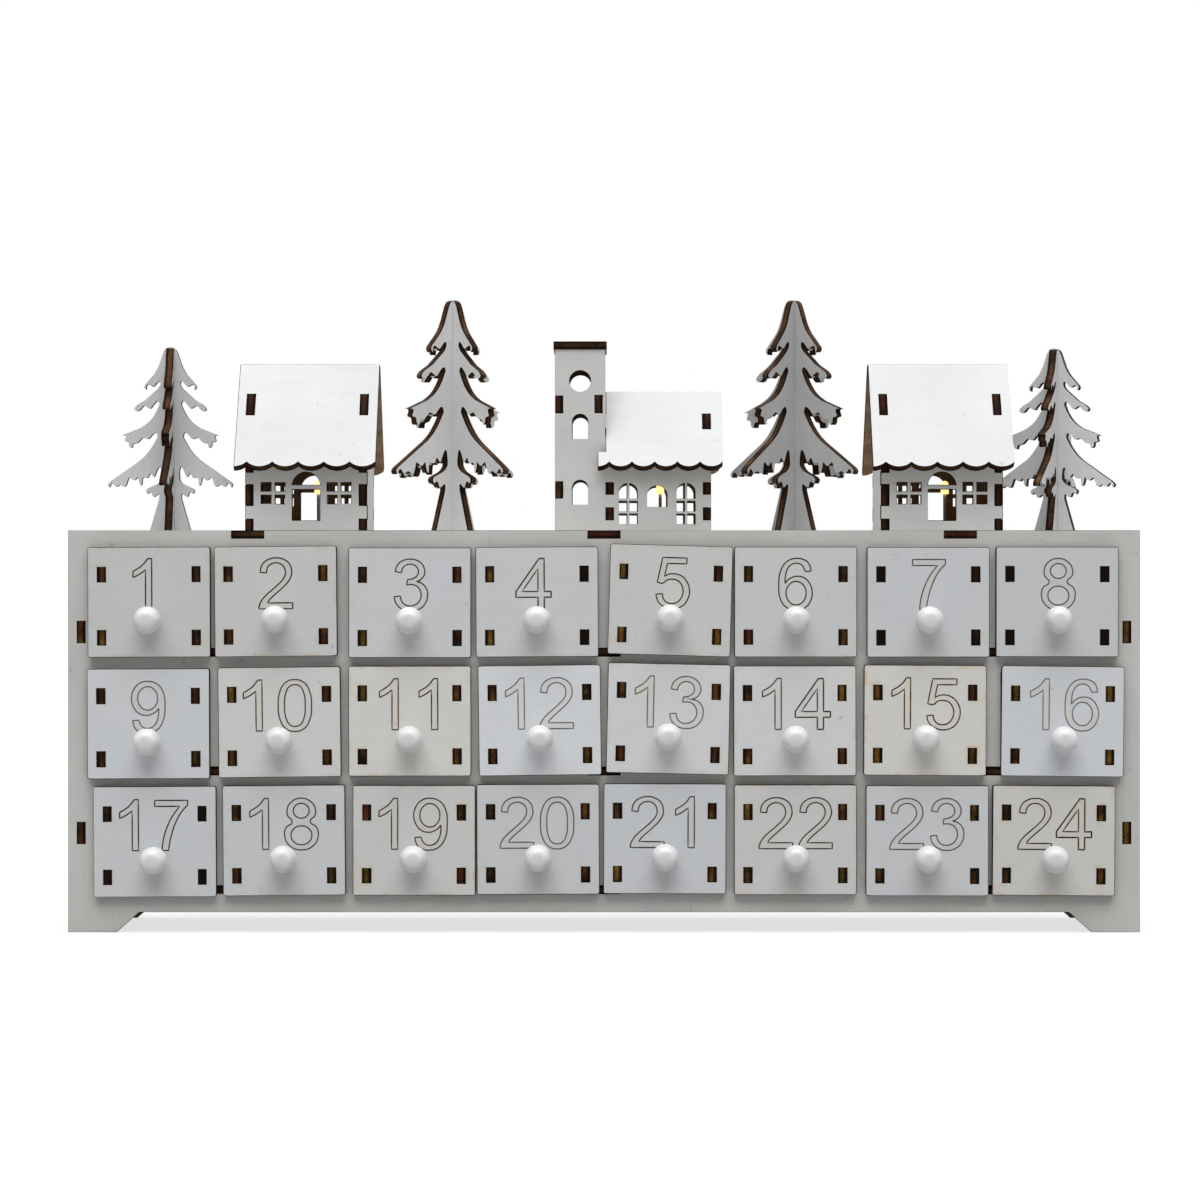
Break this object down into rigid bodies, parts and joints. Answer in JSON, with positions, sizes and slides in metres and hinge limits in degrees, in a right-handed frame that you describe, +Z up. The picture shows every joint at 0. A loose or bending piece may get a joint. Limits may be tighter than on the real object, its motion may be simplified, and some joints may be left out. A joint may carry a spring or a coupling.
{
  "type": "wooden advent calendar with drawers",
  "caption": "White laser-cut plywood advent calendar: a shallow case of small numbered drawers with round knobs, carrying a village of slot-together trees, houses and a church lit from inside.",
  "frame": {"origin": "middle of the footprint of the whole calendar, on the surface it stands on", "axes": "+Z up, -Y towards the side the drawers open to, +X to the viewer's right of someone facing the drawers"},
  "size_m": [0.4, 0.079, 0.2384],
  "materials": {
    "painted_wood": "matt white paint over plywood, burnt brown laser-cut edges",
    "lamp": "clear warm bulb",
    "lead": "soft insulation",
    "box_plastic": "fine texture",
    "switch_plastic": "fine texture",
    "cell": "plain wrapped cell",
    "contact": "sprung steel"
  },
  "bodies": {
    "case": {"front_frame": "painted_wood", "back_panel": "painted_wood", "left_side": "painted_wood", "right_side": "painted_wood", "top_panel": "painted_wood", "drawer_shelves": "painted_wood", "column_dividers": "painted_wood", "tree_outer_left": "painted_wood", "tree_inner_left": "painted_wood", "tree_inner_right": "painted_wood", "tree_outer_right": "painted_wood", "left_house_front_wall": "painted_wood", "left_house_back_wall": "painted_wood", "left_house_gables": "painted_wood", "left_house_front_roof": "painted_wood", "left_house_back_roof": "painted_wood", "right_house_front_wall": "painted_wood", "right_house_back_wall": "painted_wood", "right_house_gables": "painted_wood", "right_house_front_roof": "painted_wood", "right_house_back_roof": "painted_wood", "church_front_wall": "painted_wood", "church_back_wall": "painted_wood", "tower_outer_wall": "painted_wood", "tower_inner_wall": "painted_wood", "nave_gables": "painted_wood", "nave_front_roof": "painted_wood", "nave_back_roof": "painted_wood", "tower_cap": "painted_wood", "led_bulbs": "lamp", "led_leads": "lead", "battery_box": "box_plastic", "battery_cells": "cell", "battery_contacts": "contact"},
    "drawer_01": {"drawer_01": "painted_wood"},
    "drawer_02": {"drawer_02": "painted_wood"},
    "drawer_03": {"drawer_03": "painted_wood"},
    "drawer_04": {"drawer_04": "painted_wood"},
    "drawer_05": {"drawer_05": "painted_wood"},
    "drawer_06": {"drawer_06": "painted_wood"},
    "drawer_07": {"drawer_07": "painted_wood"},
    "drawer_08": {"drawer_08": "painted_wood"},
    "drawer_09": {"drawer_09": "painted_wood"},
    "drawer_10": {"drawer_10": "painted_wood"},
    "drawer_11": {"drawer_11": "painted_wood"},
    "drawer_12": {"drawer_12": "painted_wood"},
    "drawer_13": {"drawer_13": "painted_wood"},
    "drawer_14": {"drawer_14": "painted_wood"},
    "drawer_15": {"drawer_15": "painted_wood"},
    "drawer_16": {"drawer_16": "painted_wood"},
    "drawer_17": {"drawer_17": "painted_wood"},
    "drawer_18": {"drawer_18": "painted_wood"},
    "drawer_19": {"drawer_19": "painted_wood"},
    "drawer_20": {"drawer_20": "painted_wood"},
    "drawer_21": {"drawer_21": "painted_wood"},
    "drawer_22": {"drawer_22": "painted_wood"},
    "drawer_23": {"drawer_23": "painted_wood"},
    "drawer_24": {"drawer_24": "painted_wood"},
    "battery_lid": {"battery_lid": "box_plastic"},
    "switch": {"switch_slider": "switch_plastic"}
  },
  "joints": [
    {"name": "drawer_01_slide", "type": "slide", "parent": "case", "child": "drawer_01", "axis": [0, -1, 0], "range_m": [0, 0.04]},
    {"name": "drawer_02_slide", "type": "slide", "parent": "case", "child": "drawer_02", "axis": [0, -1, 0], "range_m": [0, 0.04]},
    {"name": "drawer_03_slide", "type": "slide", "parent": "case", "child": "drawer_03", "axis": [0, -1, 0], "range_m": [0, 0.04]},
    {"name": "drawer_04_slide", "type": "slide", "parent": "case", "child": "drawer_04", "axis": [0, -1, 0], "range_m": [0, 0.04]},
    {"name": "drawer_05_slide", "type": "slide", "parent": "case", "child": "drawer_05", "axis": [0, -1, 0], "range_m": [0, 0.04]},
    {"name": "drawer_06_slide", "type": "slide", "parent": "case", "child": "drawer_06", "axis": [0, -1, 0], "range_m": [0, 0.04]},
    {"name": "drawer_07_slide", "type": "slide", "parent": "case", "child": "drawer_07", "axis": [0, -1, 0], "range_m": [0, 0.04]},
    {"name": "drawer_08_slide", "type": "slide", "parent": "case", "child": "drawer_08", "axis": [0, -1, 0], "range_m": [0, 0.04]},
    {"name": "drawer_09_slide", "type": "slide", "parent": "case", "child": "drawer_09", "axis": [0, -1, 0], "range_m": [0, 0.04]},
    {"name": "drawer_10_slide", "type": "slide", "parent": "case", "child": "drawer_10", "axis": [0, -1, 0], "range_m": [0, 0.04]},
    {"name": "drawer_11_slide", "type": "slide", "parent": "case", "child": "drawer_11", "axis": [0, -1, 0], "range_m": [0, 0.04]},
    {"name": "drawer_12_slide", "type": "slide", "parent": "case", "child": "drawer_12", "axis": [0, -1, 0], "range_m": [0, 0.04]},
    {"name": "drawer_13_slide", "type": "slide", "parent": "case", "child": "drawer_13", "axis": [0, -1, 0], "range_m": [0, 0.04]},
    {"name": "drawer_14_slide", "type": "slide", "parent": "case", "child": "drawer_14", "axis": [0, -1, 0], "range_m": [0, 0.04]},
    {"name": "drawer_15_slide", "type": "slide", "parent": "case", "child": "drawer_15", "axis": [0, -1, 0], "range_m": [0, 0.04]},
    {"name": "drawer_16_slide", "type": "slide", "parent": "case", "child": "drawer_16", "axis": [0, -1, 0], "range_m": [0, 0.04]},
    {"name": "drawer_17_slide", "type": "slide", "parent": "case", "child": "drawer_17", "axis": [0, -1, 0], "range_m": [0, 0.04]},
    {"name": "drawer_18_slide", "type": "slide", "parent": "case", "child": "drawer_18", "axis": [0, -1, 0], "range_m": [0, 0.04]},
    {"name": "drawer_19_slide", "type": "slide", "parent": "case", "child": "drawer_19", "axis": [0, -1, 0], "range_m": [0, 0.04]},
    {"name": "drawer_20_slide", "type": "slide", "parent": "case", "child": "drawer_20", "axis": [0, -1, 0], "range_m": [0, 0.04]},
    {"name": "drawer_21_slide", "type": "slide", "parent": "case", "child": "drawer_21", "axis": [0, -1, 0], "range_m": [0, 0.04]},
    {"name": "drawer_22_slide", "type": "slide", "parent": "case", "child": "drawer_22", "axis": [0, -1, 0], "range_m": [0, 0.04]},
    {"name": "drawer_23_slide", "type": "slide", "parent": "case", "child": "drawer_23", "axis": [0, -1, 0], "range_m": [0, 0.04]},
    {"name": "drawer_24_slide", "type": "slide", "parent": "case", "child": "drawer_24", "axis": [0, -1, 0], "range_m": [0, 0.04]},
    {"name": "battery_lid_slide", "type": "slide", "parent": "case", "child": "battery_lid", "axis": [1, 0, 0], "range_m": [0, 0.035]},
    {"name": "switch_slide", "type": "slide", "parent": "case", "child": "switch", "axis": [0, 0, 1], "range_m": [0, 0.003]}
  ]
}
